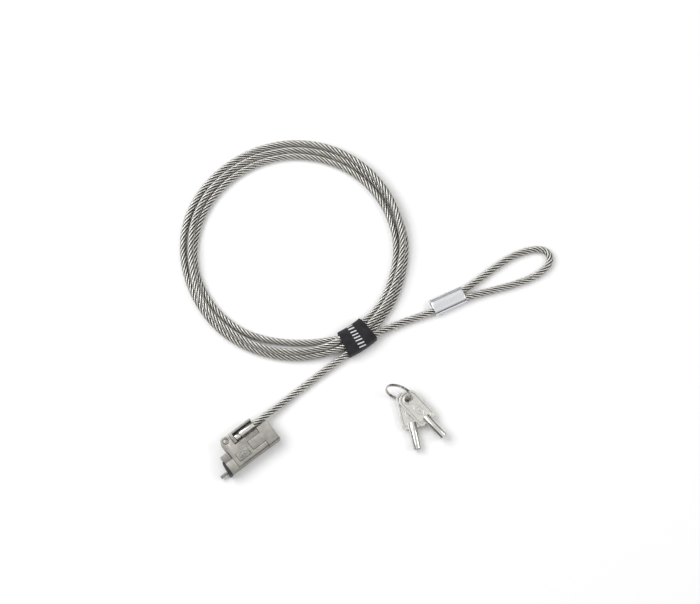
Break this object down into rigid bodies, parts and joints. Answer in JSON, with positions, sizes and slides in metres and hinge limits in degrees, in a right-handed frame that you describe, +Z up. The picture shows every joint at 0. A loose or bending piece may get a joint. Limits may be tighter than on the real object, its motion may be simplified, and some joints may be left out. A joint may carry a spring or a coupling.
{
  "type": "laptop cable lock",
  "caption": "Pivoting laptop lock head with a key cylinder on a coiled steel cable with an end loop, a coil strap and tubular keys on a split ring.",
  "frame": {"origin": "on the underside of the front housing, below the middle of its closed part", "axes": "+X along the lock head from the nose to the keyway, +Y towards the cable's end fitting, +Z up"},
  "size_m": [0.2908, 0.2585, 0.0193],
  "materials": {
    "nickel": "satin nickel on zinc die casting",
    "nickel_dark": "dull nickel",
    "bright_nickel": "bright nickel plate",
    "steel": "hardened steel",
    "cable": "stranded steel under a clear coat",
    "aluminium": "plain drawn tube",
    "brass": "machined",
    "rubber": "matt black",
    "fabric": "black hook-and-loop tape"
  },
  "bodies": {
    "cable": {"cable_coil": "cable", "cable_tail_lock": "cable", "cable_tail_loop": "cable", "cable_loop": "cable", "loop_sleeve": "aluminium", "coil_strap": "fabric", "cable_sleeve": "bright_nickel", "swivel_stud": "bright_nickel"},
    "arm": {"swivel_arm": "nickel"},
    "lock_head": {"front_housing": "nickel", "support_foot": "nickel_dark", "nose_pad": "rubber", "hook": "steel", "hinge_rivet": "bright_nickel", "rear_housing": "nickel", "face_ring": "bright_nickel", "cross_pin_left": "steel", "cross_pin_right": "steel", "driver_pin_1": "steel", "driver_pin_2": "steel", "driver_pin_3": "steel", "driver_pin_4": "steel", "pin_spring_1": "steel", "pin_spring_2": "steel", "pin_spring_3": "steel", "pin_spring_4": "steel"},
    "core": {"rotor": "brass", "cam_drum": "steel", "key_pin_1": "brass", "key_pin_2": "brass", "key_pin_3": "brass", "key_pin_4": "brass"},
    "pin": {"blocking_pin": "steel"},
    "key_a": {"key_a_bow": "bright_nickel", "key_a_barrel": "bright_nickel"},
    "key_b": {"key_b_bow": "bright_nickel", "key_b_barrel": "bright_nickel"},
    "ring": {"key_ring": "steel"}
  },
  "joints": [
    {"name": "cable_swivel", "type": "hinge", "parent": "cable", "child": "arm", "pos_m": [0.005, 0.01145, 0.0055], "axis": [1, 0, 0], "continuous": true},
    {"name": "head_pivot", "type": "hinge", "parent": "arm", "child": "lock_head", "pos_m": [-0.0043, 0.0129, 0.0055], "axis": [0, 0, -1], "range_deg": [0, 170]},
    {"name": "key_turn", "type": "hinge", "parent": "lock_head", "child": "core", "pos_m": [0.02, 0, 0.0055], "axis": [1, 0, 0], "range_deg": [0, 90]},
    {"name": "blocking_pin_slide", "type": "slide", "parent": "lock_head", "child": "pin", "axis": [-1, 0, 0], "range_m": [0, 0.004]},
    {"name": "keys_lift", "type": "slide", "parent": "cable", "child": "key_a", "axis": [0, 0, 1], "range_m": [0, 0.06]},
    {"name": "key_b_swing", "type": "hinge", "parent": "key_a", "child": "key_b", "pos_m": [0.11575, -0.04015, 0.0038], "axis": [0, 0, -1], "range_deg": [0, 70]},
    {"name": "ring_slide", "type": "hinge", "parent": "key_a", "child": "ring", "pos_m": [0.1139, -0.0337, 0.00973], "axis": [-0.8039, -0.5082, 0.309], "continuous": true}
  ],
  "couplings": [
    {"joint": "blocking_pin_slide", "follows": "key_turn", "m_per_rad": 0.002546}
  ]
}
